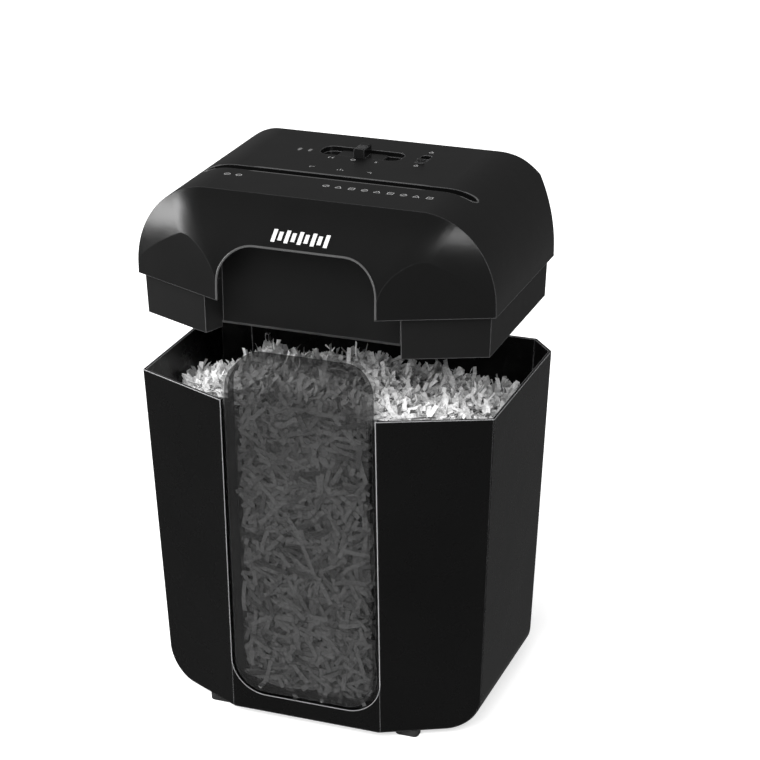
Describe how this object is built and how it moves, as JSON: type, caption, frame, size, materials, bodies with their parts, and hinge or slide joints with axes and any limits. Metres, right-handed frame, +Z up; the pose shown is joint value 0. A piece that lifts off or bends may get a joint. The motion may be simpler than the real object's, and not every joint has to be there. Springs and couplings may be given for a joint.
{
  "type": "paper shredder",
  "caption": "Cross-cut paper shredder: lift-off cutter head over a drafted waste bin with a smoked front window, slot, slide switches, cutters, gears and motor.",
  "frame": {"origin": "on the floor under the middle of the object's box", "axes": "+Z up, +X to the right seen from the front, -Y the front"},
  "size_m": [0.334, 0.2414, 0.506],
  "materials": {
    "black_satin": "satin moulded black",
    "black_matte": "matt moulded black",
    "black_gloss": "polished black",
    "smoked_pane": "smoked translucent",
    "rubber": "moulded rubber",
    "steel": "zinc plated",
    "dark_steel": "oiled hardened steel",
    "brass": "sintered bronze",
    "copper": "enamelled copper wire",
    "aluminium": "die cast",
    "nylon": "natural nylon",
    "board": "solder mask",
    "lens": "frosted lens"
  },
  "bodies": {
    "bin": {"bin_body": "black_satin", "safety_rib": "black_satin", "bin_window": "smoked_pane", "bin_feet": "rubber"},
    "head": {"top_cover": "black_satin", "lower_housing": "black_matte", "housing_screws": "steel", "cord_gland": "rubber", "lamp_lenses": "lens", "control_board": "board", "board_parts": "black_matte", "safety_switch": "black_matte", "paper_throat": "black_matte", "start_switch": "black_matte", "left_plate": "steel", "right_plate": "steel", "tie_rods": "steel", "bushes": "brass", "gear_axles": "steel", "gear_carrier": "steel", "front_comb": "black_matte", "rear_comb": "black_matte", "motor_stator": "dark_steel", "field_coils": "copper", "motor_bells": "aluminium", "brush_holders": "brass"},
    "mode_knob": {"mode_slider": "black_gloss"},
    "lock_knob": {"lock_slider": "black_gloss"},
    "sensor": {"sensor_lever": "black_matte"},
    "front_cutter": {"front_shaft": "steel", "front_discs": "dark_steel", "front_spacers": "steel", "front_sync_gear": "steel"},
    "rear_cutter": {"rear_shaft": "steel", "rear_discs": "dark_steel", "rear_spacers": "steel", "rear_sync_gear": "steel", "drive_gear": "steel"},
    "second_wheel": {"second_gear": "steel"},
    "first_wheel": {"first_gear": "nylon"},
    "rotor": {"armature": "dark_steel", "motor_pinion": "steel"}
  },
  "joints": [
    {"name": "head_lift", "type": "slide", "parent": "bin", "child": "head", "axis": [0, 0, 1], "range_m": [-0.093, 0]},
    {"name": "mode_slide", "type": "slide", "parent": "head", "child": "mode_knob", "axis": [1, 0, 0], "range_m": [-0.01, 0.01]},
    {"name": "lock_slide", "type": "slide", "parent": "head", "child": "lock_knob", "axis": [0, 1, 0], "range_m": [0, 0.014]},
    {"name": "sensor_tilt", "type": "hinge", "parent": "head", "child": "sensor", "pos_m": [0.022, 0.008, 0.462], "axis": [1, 0, 0], "range_deg": [0, 22], "stiffness_Nm_per_rad": 0.0006, "springref_deg": -11.46},
    {"name": "motor_spin", "type": "hinge", "parent": "head", "child": "rotor", "pos_m": [0, 0.07417, 0.42013], "axis": [1, 0, 0], "continuous": true},
    {"name": "first_spin", "type": "hinge", "parent": "head", "child": "first_wheel", "pos_m": [0, 0.06844, 0.45263], "axis": [1, 0, 0], "continuous": true},
    {"name": "second_spin", "type": "hinge", "parent": "head", "child": "second_wheel", "pos_m": [0, 0.03358, 0.44958], "axis": [1, 0, 0], "continuous": true},
    {"name": "rear_cutter_spin", "type": "hinge", "parent": "head", "child": "rear_cutter", "pos_m": [0, 0.006, 0.422], "axis": [1, 0, 0], "continuous": true},
    {"name": "front_cutter_spin", "type": "hinge", "parent": "head", "child": "front_cutter", "pos_m": [0, -0.032, 0.422], "axis": [1, 0, 0], "continuous": true}
  ],
  "couplings": [
    {"joint": "first_spin", "follows": "motor_spin", "ratio": -0.22222},
    {"joint": "second_spin", "follows": "motor_spin", "ratio": 0.060606},
    {"joint": "rear_cutter_spin", "follows": "motor_spin", "ratio": -0.018182},
    {"joint": "front_cutter_spin", "follows": "motor_spin", "ratio": 0.018182}
  ]
}
